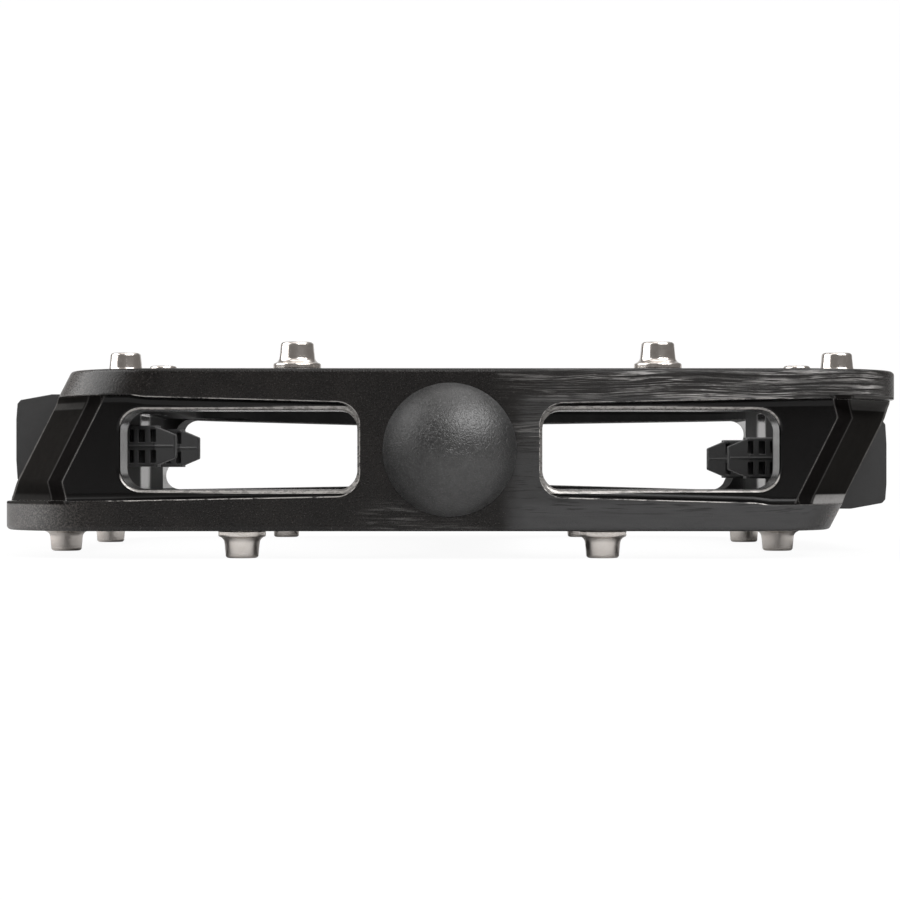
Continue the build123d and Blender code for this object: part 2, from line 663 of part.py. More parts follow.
# ---------------------------------------------------------------- write the parts
def main():
    os.makedirs("parts", exist_ok=True)
    save("platform_body", add_bores(break_edges(build_body())))

    one_pin = pin()
    for upper, lower, places in PIN_GROUPS:
        group = [Pos(x, y, HALF_THICKNESS) * one_pin for x, y in places]
        save(f"pins_upper_{upper}", *group)
        save(f"pins_lower_{lower}", *[half_turn(p) for p in group])

    save("spindle", spindle())
    for label, y in (("outer", OUTER_BEARING_Y), ("inner", INNER_BEARING_Y)):
        for piece, solids in bearing(y).items():
            save(f"{label}_bearing_{piece}", *solids)
    spacer_y = INNER_BEARING_Y - SPACER_WIDTH
    save("bearing_inner_spacer", ring(3.03, 4.0, spacer_y, INNER_BEARING_Y, 0.1))
    save("bearing_outer_spacer", ring(5.6, 6.49, spacer_y, INNER_BEARING_Y, 0.1))
    washer_y = OUTER_BEARING_Y - WASHER_WIDTH
    save("nut_washer", ring(3.05, 4.3, washer_y, OUTER_BEARING_Y, 0.1))
    save("lock_nut", lock_nut(washer_y - NUT_WIDTH))
    save("bearing_circlip", circlip(OUTER_BEARING_Y - 1.0, 0.98))
    save("plain_bush", ring(JOURNAL_R + 0.03, BUSH_R, -30.0, -12.0, 0.15))
    save("dust_seal", dust_seal())
    save("end_cap", end_cap())
    save("end_cap_o_ring", cap_o_ring())

    housing, lens = reflector()
    save("rear_reflector_housing", housing)
    save("rear_reflector_lens", lens)
    save("front_reflector_housing", half_turn(housing))
    save("front_reflector_lens", half_turn(lens))


main()
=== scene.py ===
"""A flat bicycle pedal seen from its outboard end.

The spindle lies along Y: its wide mounting thread points to +Y, and the outboard face of the
body, at y = -105 mm, looks toward the camera at -Y. X runs across the body, between the two
reflectors, and Z is up. Shapes and material patterns are in millimetres, from the spindle axis.
The stage is in metres.
"""

import json
import math

import bpy
import bmesh
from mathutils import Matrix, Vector


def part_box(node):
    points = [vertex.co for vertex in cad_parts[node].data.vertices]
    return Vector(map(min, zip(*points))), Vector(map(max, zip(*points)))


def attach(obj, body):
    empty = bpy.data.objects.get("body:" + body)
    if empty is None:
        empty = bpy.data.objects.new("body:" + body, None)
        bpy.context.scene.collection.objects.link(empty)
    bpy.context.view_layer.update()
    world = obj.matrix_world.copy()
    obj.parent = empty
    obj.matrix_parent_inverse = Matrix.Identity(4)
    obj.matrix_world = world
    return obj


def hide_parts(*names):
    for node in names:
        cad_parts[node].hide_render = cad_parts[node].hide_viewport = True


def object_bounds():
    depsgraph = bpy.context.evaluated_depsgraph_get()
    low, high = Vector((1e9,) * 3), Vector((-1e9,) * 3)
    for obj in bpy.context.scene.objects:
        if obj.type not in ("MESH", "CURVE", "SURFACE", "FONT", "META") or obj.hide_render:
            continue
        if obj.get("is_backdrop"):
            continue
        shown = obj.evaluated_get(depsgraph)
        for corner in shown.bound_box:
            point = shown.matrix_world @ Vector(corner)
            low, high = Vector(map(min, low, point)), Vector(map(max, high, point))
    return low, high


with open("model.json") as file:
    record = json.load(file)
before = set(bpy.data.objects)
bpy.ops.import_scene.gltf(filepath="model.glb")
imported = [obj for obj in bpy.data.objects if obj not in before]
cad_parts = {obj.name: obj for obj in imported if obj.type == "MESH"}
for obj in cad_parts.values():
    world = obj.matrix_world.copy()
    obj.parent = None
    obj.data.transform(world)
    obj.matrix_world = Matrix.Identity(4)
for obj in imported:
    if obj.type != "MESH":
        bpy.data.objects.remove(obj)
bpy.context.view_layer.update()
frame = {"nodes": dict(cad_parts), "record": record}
MM = 0.001


# ---------------------------------------------------------------- node helpers
class Value:
    """An output socket. Each operation on it adds a node to its tree."""

    def __init__(self, shader, socket):
        self.shader = shader
        self.socket = socket

    def __add__(self, other):
        return self.shader.math("ADD", self, other)

    def __sub__(self, other):
        return self.shader.math("SUBTRACT", self, other)

    def __rsub__(self, other):
        return self.shader.math("SUBTRACT", other, self)

    def __mul__(self, other):
        return self.shader.math("MULTIPLY", self, other)

    def __abs__(self):
        return self.shader.math("ABSOLUTE", self)

    def max(self, other):
        return self.shader.math("MAXIMUM", self, other)

    def ramp(self, start, end, low=0.0, high=1.0):
        """Smooth change from low, where this value is start, to high, where it is end."""
        return self.shader.node("ShaderNodeMapRange", (self, start, end, low, high),
                                interpolation_type="SMOOTHSTEP")

    def mix(self, off, on):
        """Number that goes from off to on as this mask goes from 0 to 1."""
        return self.shader.node("ShaderNodeMix", {0: self, 2: off, 3: on}, data_type="FLOAT")

    def tint(self, off, on):
        """Colour that goes from off to on as this mask goes from 0 to 1."""
        return self.shader.node("ShaderNodeMix", {0: self, 6: off, 7: on}, out=2,
                                data_type="RGBA")

    def xyz(self):
        x_out = self.shader.node("ShaderNodeSeparateXYZ", (self,))
        return [Value(self.shader, socket) for socket in x_out.socket.node.outputs]

    def stretch(self, x, y, z):
        return self.shader.node("ShaderNodeVectorMath", (self, (x, y, z)), operation="MULTIPLY")

    def shift(self, offset):
        return self.shader.node("ShaderNodeVectorMath", (self, offset), operation="ADD")

    def noise(self, scale=1.0, detail=2.0, rough=0.5, out=0):
        inputs = {"Vector": self, "Scale": scale, "Detail": detail, "Roughness": rough}
        return self.shader.node("ShaderNodeTexNoise", inputs, out=out)

    def bump(self, strength, distance, normal=None):
        """Normal tilted by this height, on top of an earlier normal if there is one."""
        inputs = {"Strength": strength, "Distance": distance, "Height": self}
        if normal is not None:
            inputs["Normal"] = normal
        return self.shader.node("ShaderNodeBump", inputs)


class Shader:
    """The emptied node tree of a material or world."""

    SURFACE_INPUTS = {
        "color": "Base Color", "metal": "Metallic", "rough": "Roughness", "normal": "Normal",
        "spec": "Specular IOR Level", "coat": "Coat Weight", "coat_rough": "Coat Roughness",
        "trans": "Transmission Weight", "ior": "IOR",
    }

    def __init__(self, owner):
        owner.use_nodes = True
        self.tree = owner.node_tree
        self.tree.nodes.clear()

    def node(self, kind, inputs=(), out=0, **props):
        """Add a node and return one output. Inputs are in order, or keyed by index or name."""
        new = self.tree.nodes.new(kind)
        for key, value in props.items():
            setattr(new, key, value)
        pairs = inputs.items() if isinstance(inputs, dict) else enumerate(inputs)
        for key, value in pairs:
            self.put(new.inputs[key], value)
        return Value(self, new.outputs[out])

    def put(self, socket, value):
        if isinstance(value, Value):
            self.tree.links.new(value.socket, socket)
        elif isinstance(value, tuple) and socket.type == "RGBA":
            socket.default_value = (*value, 1.0)
        else:
            socket.default_value = value

    def math(self, operation, first, second=0.0):
        return self.node("ShaderNodeMath", (first, second, 0.0), operation=operation)

    def position(self):
        """Object position in millimetres."""
        metres = self.node("ShaderNodeTexCoord", out="Object")
        return self.node("ShaderNodeVectorMath", {0: metres, 3: 1 / MM}, operation="SCALE")

    def edge(self, radius, start, end, samples):
        """Mask that is 1 on edges, and the normal softened over radius (metres)."""
        soft = self.node("ShaderNodeBevel", {"Radius": radius}, samples=samples)
        normal = self.node("ShaderNodeNewGeometry", out="Normal")
        along = self.node("ShaderNodeVectorMath", (soft, normal), out="Value",
                          operation="DOT_PRODUCT")
        return (1.0 - along).ramp(start, end), soft

    def surface(self, **values):
        inputs = {self.SURFACE_INPUTS[key]: value for key, value in values.items()}
        return self.node("ShaderNodeBsdfPrincipled", inputs)

    def finish(self, result, kind):
        output = self.tree.nodes.new(kind)
        self.put(output.inputs[0], result)


def material(name, build):
    new = bpy.data.materials.new(name)
    shader = Shader(new)
    shader.finish(build(shader), "ShaderNodeOutputMaterial")
    return new


def grey(level):
    return (level, level, level)


# ---------------------------------------------------------------- body alloy
# In these masks ax and az are |x| and |z|, and the two numbers of a ramp are the places, or
# normal components, where the mask begins and ends its change.
Y_OUT = -105.0      # outboard face
SLANT = 0.5         # shift of the body's slanted sides in x for each mm of z
EDGE_U = 49.15      # slanted side of the body, in the slanted coordinate
FLARE_Z = -3.65     # height where the corner facets start to flare
FLARE_RATE = 0.75
FACET_A = 42.2      # facet edges that carry painted highlight lines, in the flared coordinate
FACET_B = 44.3


def bay_masks(ax, y, az):
    """The bays, the smooth inboard pad in them, and the rest of them, left as forged."""
    in_bay = ax.ramp(42.8, 42.5) * (y.ramp(Y_OUT + 8.2, Y_OUT + 8.8) * y.ramp(-7.2, -7.6))
    in_bay = in_bay * az.ramp(8.8, 8.6)
    pad = in_bay * (ax.ramp(39.6, 40.2) * az.ramp(5.6, 5.4))
    pad = pad * (y.ramp(-50.6, -47.0) * y.ramp(-37.0, -43.0))
    return in_bay, pad, in_bay * (1.0 - pad)


def rim_masks(ax, y, az, ny, nz):
    """Broken edges round the outboard openings, and the inner step among them, where highlights
    are painted.
    """
    across = abs(ny)
    tilt = across.ramp(0.2, 0.4) * across.ramp(0.985, 0.93)
    near = y.ramp(-101.9, -102.3) * ax.ramp(38.9, 38.5)
    front_rim = y.ramp(-104.72, -104.8)
    inner_rim = y.ramp(-102.55, -102.62) * (az.ramp(5.0, 4.95) * (1.0 - front_rim))
    level = abs(nz).ramp(0.15, 0.3).max(ax.ramp(13.0, 12.6))
    rim = tilt * near * front_rim.max(inner_rim) * level * az.ramp(7.0, 6.7)
    return rim, inner_rim


def corner_masks(shader, pos, az, ny, in_bay, coarse):
    """The stepped facets round the outboard corners, and the painted highlights on and beside
    them.
    """
    x, y, z = pos.xyz()
    slanted = abs(x - z * SLANT)
    z_left = z * x.ramp(-1.0, 1.0).mix(1.0, -1.0)     # both corners seen as the -X one
    flared = slanted + shader.math("MAXIMUM", 0.0, (FLARE_Z - z_left) * FLARE_RATE)
    corner = flared.ramp(42.0, 42.3) * az.ramp(6.3, 6.1)
    corner = corner * (y.ramp(-68.0, -72.0) * ny.ramp(-0.12, -0.25) * (1.0 - in_bay))
    strip = corner * flared.ramp(44.4, 44.2)

    def facet_line(place, start, end):
        return abs(flared - place).ramp(0.17, 0.05) * y.ramp(start, end)

    # painted highlight lines along the facet edges, broken up unevenly
    lines = facet_line(FACET_A, -102.2, -102.5).max(facet_line(FACET_B, -99.0, -99.4))
    uneven = pos.noise(scale=1.4, detail=3.0, rough=0.6).mix(0.3, 1.0)
    facet_edge_highlight = lines * (az.ramp(6.2, 6.0) * uneven)

    # painted highlight on the rounded ledge where the facets turn into the flanges, strongest
    # low on the right
    right = x.ramp(-1.0, 1.0)
    above = z.ramp(-1.0, 1.0)
    turn_right = above.mix(az.ramp(5.0, 5.25), az.ramp(4.5, 4.7) * 0.17)
    turn_left = above.mix(az.ramp(4.9, 5.3) * 0.06,
                          az.ramp(4.6, 4.85) * az.ramp(5.6, 5.35) * 0.14)
    ledge_highlight = corner * flared.ramp(44.4, 44.7) * right.mix(turn_left, turn_right)

    # painted highlights: grainy sheen on the rounded ends at -X, and a thin bright line on the
    # slanted corner edge
    left_end_highlight = coarse * above.mix(x.ramp(-38.0, -49.0), x.ramp(-39.5, -42.5) * x.ramp(-48.0, -45.0))
    slant_edge_highlight = corner * slanted.ramp(EDGE_U - 0.3, EDGE_U - 0.14)
    uneven = pos.stretch(1.0, 1.0, 1.6).noise(detail=4.0, rough=0.7).mix(0.2, 1.0)
    return corner, strip, facet_edge_highlight, ledge_highlight, left_end_highlight, slant_edge_highlight * uneven


def brushing(pos, z):
    """Wavy brushing, long along X: two streaks, two waves, thin lines for painted highlights,
    fine grain.
    """
    warp = pos.stretch(0.045, 0.045, 0.1).noise(out="Color").stretch(0.0, 0.0, 2.6)
    wavy = pos.shift(warp)
    streak = wavy.stretch(0.085, 0.3, 2.7).noise(rough=0.55)
    short_streak = wavy.shift((40.0, 0.0, 11.0)).stretch(0.2, 0.6, 3.9).noise(rough=0.6)
    wave_a = wavy.stretch(0.035, 0.035, 2.5).noise(detail=1.5, rough=0.45)
    wave_b = wavy.shift((17.0, 0.0, 5.0)).stretch(0.06, 0.06, 3.3).noise(detail=1.5, rough=0.45)
    # the thin lines follow the middle levels of the waves
    thin_a = abs(wave_a - 0.5).ramp(0.05, 0.015)
    thin_b = abs(wave_b - 0.52).ramp(0.05, 0.015)
    # then break up, fade in patches and weaken toward the web
    crisp = pos.stretch(0.3, 0.3, 3.0).noise(detail=3.0, rough=0.7).ramp(0.4, 0.62)
    glint_line = thin_a.max(thin_b * 0.75) * crisp.mix(0.1, 1.0)
    glint_line = glint_line * pos.stretch(0.1, 0.1, 0.4).noise().ramp(0.38, 0.62).mix(0.25, 1.0)
    glint_line = glint_line * z.ramp(5.2, 6.4, low=0.35, high=1.0)
    fine = pos.stretch(0.5, 0.5, 9.0).noise(detail=3.0, rough=0.6)
    return streak, short_streak, wave_a, wave_b, glint_line, fine


def platform_alloy(shader):
    """Black anodised alloy: blasted treads and rims, smooth pockets, brushed outboard face."""
    pos = shader.position()
    x, y, z = pos.xyz()
    _, ny, nz = shader.node("ShaderNodeNewGeometry", out="Normal").xyz()
    ax = abs(x)
    az = abs(z)

    # zones: the coarse finish covers the tread flanges and the outboard plane
    coarse = az.ramp(6.0, 6.25).max(y.ramp(Y_OUT + 0.6, Y_OUT + 0.35))
    in_bay, pad, forged = bay_masks(ax, y, az)
    facing = ny.ramp(-0.5, -0.8)
    side = (x + (pos.noise(scale=0.12) - 0.5) * 9.0).ramp(4.0, 12.0)
    brushed = facing * side * coarse
    upper = z.ramp(-1.0, 1.0)
    rim, inner_rim = rim_masks(ax, y, az, ny, nz)
    corner, strip, facet_edge_highlight, ledge_highlight, left_end_highlight, slant_edge_highlight = corner_masks(
        shader, pos, az, ny, in_bay, coarse)

    # patterns
    grain = pos.noise(scale=5.0, rough=0.65)
    # painted glints: bright flecks for the sparkle of the blasted finish
    sparkle_glint = pos.shift((31.0, 7.0, 3.0)).noise(scale=8.0, detail=1.0, rough=0.4).ramp(0.62, 0.74)
    patch = pos.noise(scale=0.22, detail=3.0, rough=0.55).ramp(0.35, 0.7)
    streak, short_streak, wave_a, wave_b, glint_line, fine = brushing(pos, z)

    # base colours, with painted glints for the bead-blast sparkle
    blasted = patch.tint((0.0032, 0.0026, 0.0023), (0.0066, 0.0055, 0.0049))
    smooth = pos.noise(scale=0.6).tint((0.0028, 0.0027, 0.0028), (0.0045, 0.0043, 0.0043))
    color = coarse.tint(smooth, blasted)
    color = (sparkle_glint * coarse * brushed.mix(0.45, 0.12)).tint(color, (0.11, 0.10, 0.095))

    # painted reflection: the lower right of the outboard face lighter grey, as lit by a soft
    # light from the right and below, with dark scars
    ragged = (x + pos.noise(scale=0.3) * 3.0).ramp(7.0, 10.5)
    sheen_low_right = facing * coarse * ((1.0 - upper) * ragged)
    sheen_with_scars = pos.stretch(0.2, 0.2, 1.6).noise(detail=3.0).tint(
        (0.038, 0.038, 0.039), (0.062, 0.062, 0.063))
    scar = short_streak.ramp(0.53, 0.63) * z.ramp(-8.0, -6.4)
    sheen_with_scars = (scar * 0.75).tint(sheen_with_scars, grey(0.012))
    color = (sheen_low_right * 0.9).tint(color, sheen_with_scars)

    # painted sheen: the web between the flanges, on the right, lighter grey, broken by darker
    # streaks
    web = facing * coarse * (x.ramp(7.0, 9.0) * az.ramp(6.4, 5.6))
    color = (web * short_streak.ramp(0.48, 0.6).mix(0.75, 0.1)).tint(color, grey(0.03))

    # painted highlights: bright lines where the brushing catches the light, upper right, and
    # half as strong low near the middle
    up_side = brushed * upper
    low_middle = facing * coarse * (x.ramp(-12.0, -7.5) * x.ramp(6.0, -1.0) * z.ramp(-5.0, -6.5))
    lines = up_side.max(low_middle * 0.5) * glint_line
    color = (lines * 0.9).tint(color, (0.42, 0.41, 0.4))
    # painted sheen: the fine brushing grain lightened on the upper right
    color = (up_side * (fine.ramp(0.5, 0.75) * 0.45)).tint(color, (0.03, 0.029, 0.028))

    # forged bays, then corner facets, their strip, and painted highlights on the facet edges and
    # the ledge
    color = forged.tint(color, patch.tint(grey(0.005), grey(0.009)))
    facets = pos.noise(scale=0.9, detail=3.0, rough=0.6).tint(
        (0.0096, 0.0090, 0.0084), (0.0145, 0.0137, 0.0129))
    color = corner.tint(color, facets)
    strip_color = pos.noise(scale=1.3, detail=3.0, rough=0.6).tint(
        (0.0045, 0.0041, 0.004), (0.0085, 0.0078, 0.0075))
    color = strip.tint(color, strip_color)
    color = (facet_edge_highlight * 0.8).tint(color, (0.062, 0.06, 0.059))
    uneven = pos.noise(scale=3.0, detail=3.0, rough=0.7).mix(0.55, 1.0)
    color = (ledge_highlight * uneven).tint(color, (0.3, 0.295, 0.29))

    # painted highlights: grainy sheen on the -X ends, and a thin bright line along the slanted
    # edge
    color = (left_end_highlight * grain.ramp(0.42, 0.68)).tint(color, (0.085, 0.076, 0.07))
    color = (slant_edge_highlight * 0.8).tint(color, (0.16, 0.155, 0.15))

    # rubbed edges everywhere, then painted highlights along the rims
    wear, soft = shader.edge(radius=0.0002, start=0.015, end=0.16, samples=6)
    wear = wear * pos.noise(scale=1.6, detail=4.0, rough=0.7).ramp(0.35, 0.62).mix(0.15, 1.0)
    color = (wear * 0.75).tint(color, (0.26, 0.25, 0.24))
    broken = pos.stretch(0.7, 0.7, 2.4).noise(detail=4.0, rough=0.75).ramp(0.38, 0.56)
    rim_highlight = rim * inner_rim.mix(broken * 0.9, broken.mix(0.55, 0.9))
    color = (rim_highlight * 0.85).tint(color, (0.52, 0.5, 0.48))

    # roughness, zone over zone; the low left end has its own sheen
    rough = coarse.mix(pos.noise(scale=2.5).mix(0.16, 0.24), grain.mix(0.22, 0.34))
    rough = brushed.mix(rough, streak.mix(0.28, 0.45))
    rough = forged.mix(rough, 0.62)
    sheen = coarse * (x.ramp(-41.0, -48.0) * z.ramp(-5.6, -6.4))
    rough = sheen.mix(rough, grain.mix(0.26, 0.5))
    rough = pad.mix(rough, 0.12)
    rough = (wear * 0.8).mix(rough, 0.36)
    rough = rim_highlight.mix(rough, 0.3)

    # highlight strength, from coarse finish out to corner facets
    spec = coarse.mix(0.2, sheen.mix(0.32, 0.9))
    spec = corner.mix(forged.mix(pad.mix(spec, 0.5), 0.08), 0.0)

    # relief: blasting, brushing, forging, tool marks
    normal = (grain * coarse).bump(strength=0.7, distance=0.00006, normal=soft)
    waves = (wave_a + wave_b + fine * 0.3) * up_side
    normal = waves.bump(strength=0.7, distance=0.00016, normal=normal)
    lumps = pos.noise(scale=2.0, detail=3.0, rough=0.6) * forged
    normal = lumps.bump(strength=0.6, distance=0.0001, normal=normal)
    tool = pos.stretch(0.3, 0.3, 6.0).noise(detail=1.0) * (1.0 - coarse)
    normal = tool.bump(strength=0.12, distance=0.00001, normal=normal)
    return shader.surface(color=color, rough=rough, metal=(wear * 0.5).max(rim_highlight * 0.6),
                          normal=normal, spec=spec)


# ---------------------------------------------------------------- other materials
def pin_steel(shader):
    """Bright nickel plate over turned steel."""
    pos = shader.position()
    z = pos.xyz()[2]
    rings = shader.node("ShaderNodeCombineXYZ", (0.0, 0.0, z * 9.0)).noise(detail=3.0, rough=0.7)
    blot = pos.noise(scale=1.6, detail=3.0, rough=0.6)
    pits = pos.noise(scale=9.0, detail=1.0).ramp(0.68, 0.78)
    color = blot.tint((0.66, 0.61, 0.565), (0.80, 0.765, 0.735))
    color = (pits * 0.35).tint(color, (0.25, 0.22, 0.2))
    wear, soft = shader.edge(radius=0.00009, start=0.03, end=0.3, samples=4)
    color = (wear * 0.4).tint(color, (0.85, 0.83, 0.81))
    normal = rings.bump(strength=0.35, distance=0.000012, normal=soft)
    normal = pos.noise(scale=3.5).bump(strength=0.2, distance=0.00002, normal=normal)
    return shader.surface(color=color, metal=1.0, rough=blot.mix(0.12, 0.22), normal=normal)


def cap_plastic(shader):
    """Matte black with a fine moulded grain, shinier toward +X."""
    pos = shader.position()
    grain = pos.noise(scale=4.4, rough=0.65)
    cloud = pos.noise(scale=1.3, detail=3.0, rough=0.6)
    speck = pos.shift((5.0, 9.0, 2.0)).noise(scale=5.2, detail=1.0).ramp(0.52, 0.72)
    color = grain.ramp(0.3, 0.7).tint((0.005, 0.005, 0.0052), grey(0.018))
    color = (speck * 0.35).tint(color, (0.06, 0.06, 0.059))
    color = (cloud.ramp(0.35, 0.75) * 0.3).tint(color, grey(0.035))
    edge, soft = shader.edge(radius=0.00012, start=0.03, end=0.3, samples=4)
    color = (edge * 0.4).tint(color, grey(0.1))
    normal = (grain + speck * 0.4).bump(strength=0.8, distance=0.00007, normal=soft)
    spec = pos.xyz()[0].ramp(-6.0, 1.0, low=0.42, high=0.85) * cloud.mix(0.8, 1.1)
    return shader.surface(color=color, rough=grain.mix(0.3, 0.42), spec=spec, normal=normal)


def reflector_housing(shader):
    """Moulded dark grey plastic, lightly textured, with a soft shine."""
    pos = shader.position()
    grain = pos.noise(scale=3.6, rough=0.6)
    cloud = pos.noise(scale=0.25, detail=3.0, rough=0.6)
    flow = pos.stretch(1.0, 0.12, 1.0).noise(scale=0.5, detail=3.0)
    color = cloud.tint((0.017, 0.017, 0.0175), (0.028, 0.028, 0.0285))
    color = (grain * 0.3).tint(color, (0.04, 0.04, 0.0405))
    edge, soft = shader.edge(radius=0.00018, start=0.02, end=0.25, samples=6)
    color = (edge * flow.mix(0.2, 0.7)).tint(color, grey(0.12))
    normal = grain.bump(strength=0.35, distance=0.00003, normal=soft)
    normal = flow.bump(strength=0.2, distance=0.00006, normal=normal)
    return shader.surface(color=color, rough=grain.mix(0.42, 0.58), spec=0.5, normal=normal)


def reflector_lens(shader):
    """Clear amber plastic with faint scratches."""
    pos = shader.position()
    color = pos.noise(scale=0.4).tint((0.90, 0.24, 0.012), (0.98, 0.36, 0.03))
    deep = pos.noise(scale=2.2).ramp(0.45, 0.8) * 0.25
    color = deep.tint(color, (0.7, 0.15, 0.01))
    scratch = pos.stretch(1.0, 0.6, 7.0).noise(detail=3.0, rough=0.7)
    return shader.surface(
        color=color, rough=scratch.ramp(0.55, 0.8).mix(0.06, 0.2), spec=0.6, coat=0.6,
        coat_rough=0.05, trans=0.35, ior=1.49,
        normal=scratch.bump(strength=0.05, distance=0.00001))


def grained(dark, light, rough, scale, strength=0.2, distance=0.00003, **extra):
    """Polymer or rubber with one grain that drives colour, roughness and relief."""
    def build(shader):
        grain = shader.position().noise(scale=scale, detail=3.0, rough=0.6)
        return shader.surface(color=grain.tint(dark, light), rough=grain.mix(*rough),
                              normal=grain.bump(strength, distance), **extra)
    return build


def turned(dark, light, rough, pitch=7.0, metal=1.0):
    """Turned metal with rings round the spindle axis. Pitch is the rings' noise frequency."""
    def build(shader):
        pos = shader.position()
        x, y, z = pos.xyz()
        radius = shader.math("SQRT", x * x + z * z)
        rings = shader.node("ShaderNodeCombineXYZ", (radius * pitch, y * pitch, 0.0))
        rings = rings.noise(detail=3.0, rough=0.7)
        blot = pos.noise(scale=0.7, detail=3.0, rough=0.6)
        color = ((rings + blot) * 0.5).tint(dark, light)
        wear, soft = shader.edge(radius=0.00014, start=0.02, end=0.25, samples=4)
        rubbed = tuple(min(1.0, channel * 1.35) for channel in light)
        color = (wear * 0.45).tint(color, rubbed)
        normal = rings.bump(strength=0.35, distance=0.000015, normal=soft)
        return shader.surface(color=color, metal=metal, rough=blot.mix(*rough), normal=normal)
    return build


BUILDERS = {
    "platform_alloy": platform_alloy,
    "pin_steel": pin_steel,
    "cap_plastic": cap_plastic,
    "reflector_housing": reflector_housing,
    "reflector_lens": reflector_lens,
    "seal_rubber": grained(
        dark=(0.008, 0.008, 0.0085), light=grey(0.022), rough=(0.55, 0.75), scale=3.0,
        strength=0.4, distance=0.00004, spec=0.4),
    "bush_polymer": grained(
        dark=(0.07, 0.064, 0.055), light=(0.13, 0.12, 0.10), rough=(0.45, 0.65), scale=2.5),
    "spacer_alloy": turned(dark=grey(0.5), light=grey(0.66), rough=(0.22, 0.35)),
    "spring_steel": turned(
        dark=(0.05, 0.05, 0.055), light=(0.1, 0.1, 0.105), rough=(0.35, 0.5), pitch=4.0,
        metal=0.8),
    "spindle_steel": turned(
        dark=(0.30, 0.295, 0.29), light=(0.46, 0.455, 0.45), rough=(0.2, 0.34), pitch=6.0),
    "zinc_steel": turned(
        dark=(0.5, 0.5, 0.47), light=(0.68, 0.68, 0.65), rough=(0.25, 0.4), pitch=3.0),
    "bearing_steel": turned(
        dark=(0.5, 0.5, 0.51), light=(0.66, 0.66, 0.67), rough=(0.12, 0.2), pitch=9.0),
    "ball_steel": turned(
        dark=(0.66, 0.66, 0.67), light=(0.76, 0.76, 0.77), rough=(0.04, 0.07), pitch=1.0),
    "cage_polymer": grained(
        dark=(0.30, 0.24, 0.14), light=(0.45, 0.37, 0.24), rough=(0.4, 0.6), scale=3.0),
}
MATERIALS = {name: material(name, build) for name, build in BUILDERS.items()}

slot_of = {part["node"]: part["material_slot"] for part in frame["record"]["subparts"]}
for name, part in frame["nodes"].items():
    part.data.materials.clear()
    part.data.materials.append(MATERIALS[slot_of[name]])


# ---------------------------------------------------------------- mesh helpers
def add_object(name, bm):
    mesh = bpy.data.meshes.new(name)
    bm.to_mesh(mesh)
    bm.free()
    ob = bpy.data.objects.new(name, mesh)
    bpy.context.scene.collection.objects.link(ob)
    return ob


def smooth_faces(mesh):
    for poly in mesh.polygons:
        poly.use_smooth = True


def shade(ob, angle):
    """Smooth shading that keeps edges sharper than angle (degrees)."""
    smooth_faces(ob.data)
    bm = bmesh.new()
    bm.from_mesh(ob.data)
    limit = math.radians(angle)
    for edge in bm.edges:
        sharp = len(edge.link_faces) == 2 and edge.calc_face_angle(0.0) > limit
        edge.smooth = not sharp
    bm.to_mesh(ob.data)
    bm.free()


# ---------------------------------------------------------------- spindle with its threads
RING_POINTS = 144
CREST_HALF = 0.0625       # half width of a thread crest, in pitches
ROOT_START = 0.375        # where the root begins, in pitches from the crest's middle
SMALL_PITCH = 1.0         # thread at the outboard end
MAIN_PITCH = 25.4 / 20    # mounting thread, 20 to the inch
MAIN_MAJOR, MAIN_MINOR = 7.12, 6.34
COLLAR_HALF = 7.5         # half the width across the collar's two flats
HEX_ACROSS = 8.0          # hex socket, across flats

# Sections of the spindle in order, as (y, radius).
TIP = [(-104.55, 0.85), (-104.6, 0.95), (-104.6, 2.5), (-104.55, 2.6)]
SHAFT = [
    (-99.3, 2.97), (-99.25, 3.0), (-86.25, 3.0), (-86.2, 3.05), (-86.2, 3.85), (-86.17, 3.92),
    (-86.1, 3.98), (-86.05, 4.0), (-84.85, 4.0), (-84.7, 4.03), (-84.3, 4.27), (-84.15, 4.3),
    (-70, 4.64), (-55, 4.99), (-40.1, 5.34), (-39.9, 5.35), (-33.7, 5.35), (-33.5, 5.42),
    (-32.7, 5.95), (-32.5, 6.0), (-25, 6.0), (-15, 6.0), (-7.0, 6.0), (-6.75, 6.02),
    (-6.55, 6.08), (-6.38, 6.2), (-6.25, 6.37), (-6.15, 6.5), (-6.02, 6.62),
]
COLLAR = [      # cut by the two flats
    (-6.0, 6.75), (-6.0, 7.3), (-6.0, 8.1), (-5.93, 8.3), (-5.75, 8.5), (-5.55, 8.58),
    (-5.4, 8.6), (-0.6, 8.6), (-0.45, 8.58), (-0.25, 8.5), (-0.07, 8.3), (0.0, 8.1), (0.0, 7.3),
]
NECK = [(0.0, 6.9), (0.05, 6.7), (0.18, 6.5), (0.4, 6.4), (0.6, 6.37), (1.35, 6.37)]
END_FACE = [(12.66, 6.38), (12.7, 6.25), (12.7, 5.2), (12.66, 5.08), (12.35, 4.75)]
SOCKET_WALL = [11.85, 11.0, 7.0, 4.0, 3.85]     # y only
SOCKET_FLOOR = [(3.75, 3.85), (3.3, 2.9), (2.6, 1.3)]


def pole(y):
    return [Vector((0, y, 0)) * MM]


def ring(y, radius):
    """Points round the axis from +Z toward +X. Radius is a number or a function of the angle."""
    points = []
    for i in range(RING_POINTS):
        angle = 2 * math.pi * i / RING_POINTS
        r = radius(angle) if callable(radius) else radius
        points.append(Vector((r * math.sin(angle), y, r * math.cos(angle))) * MM)
    return points


def rings_at(stations):
    return [ring(y, radius) for y, radius in stations]


def thread(y, angle, pitch):
    """0 at the root, 1 at the crest."""
    phase = (y / pitch - angle / (2 * math.pi)) % 1.0
    away = min(phase, 1 - phase)
    return max(0.0, min(1.0, (ROOT_START - away) / (ROOT_START - CREST_HALF)))


